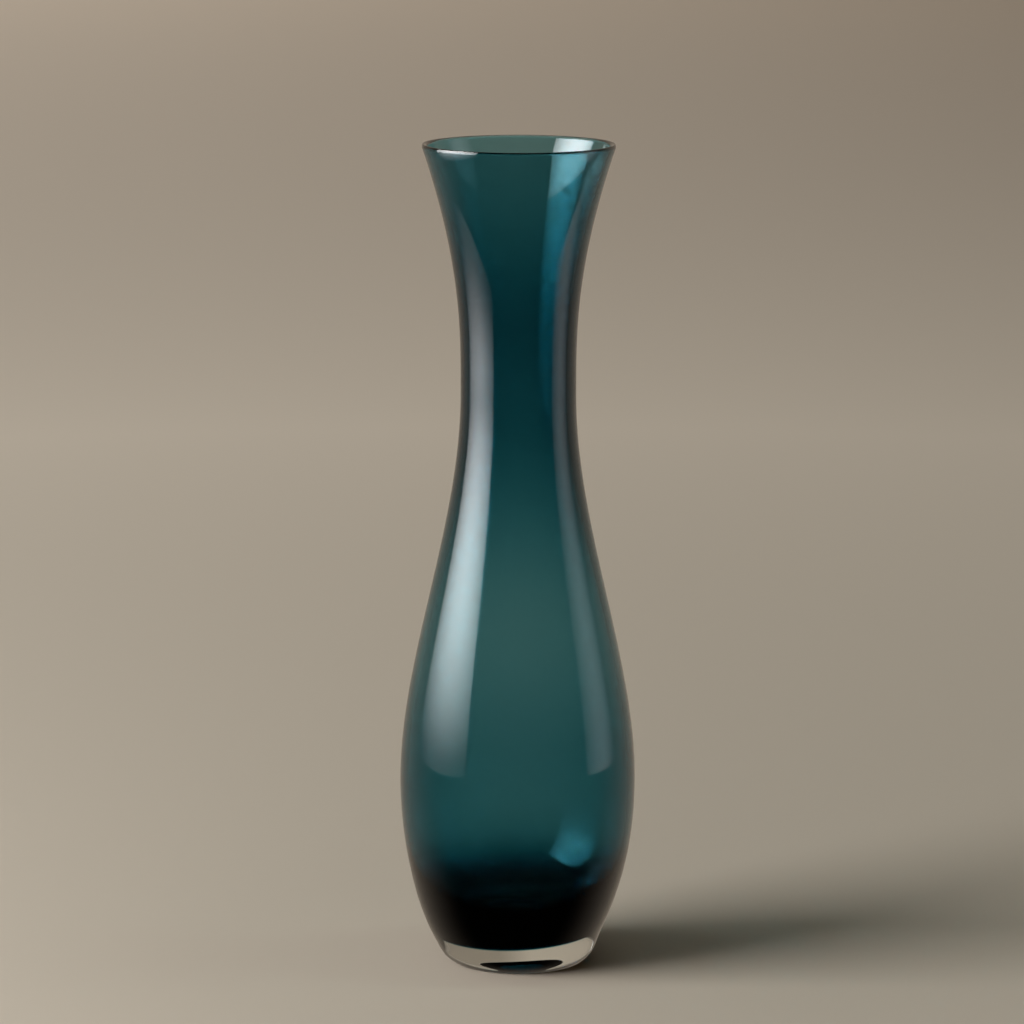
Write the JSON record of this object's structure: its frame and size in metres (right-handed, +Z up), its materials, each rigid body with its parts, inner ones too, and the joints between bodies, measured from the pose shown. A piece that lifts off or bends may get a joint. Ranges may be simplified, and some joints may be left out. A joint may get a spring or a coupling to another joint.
{
  "type": "hand blown glass vase",
  "caption": "Tall slender vase of cased teal glass with a flared mouth, narrow neck, pear-shaped belly and thick clear base.",
  "frame": {"origin": "centre of the foot, on the surface that the vase stands on", "axes": "+Z up along the axis of the vase, towards its mouth"},
  "size_m": [0.1088, 0.1088, 0.38],
  "materials": {
    "clear_base_glass": "polished clear glass, finely ground on the foot ring",
    "teal_glass": "fire-polished teal glass",
    "clear_casing_glass": "fire-polished clear glass"
  },
  "bodies": {
    "root": {"clear_base": "clear_base_glass", "teal_bubble": "teal_glass", "clear_casing": "clear_casing_glass"}
  },
  "joints": []
}
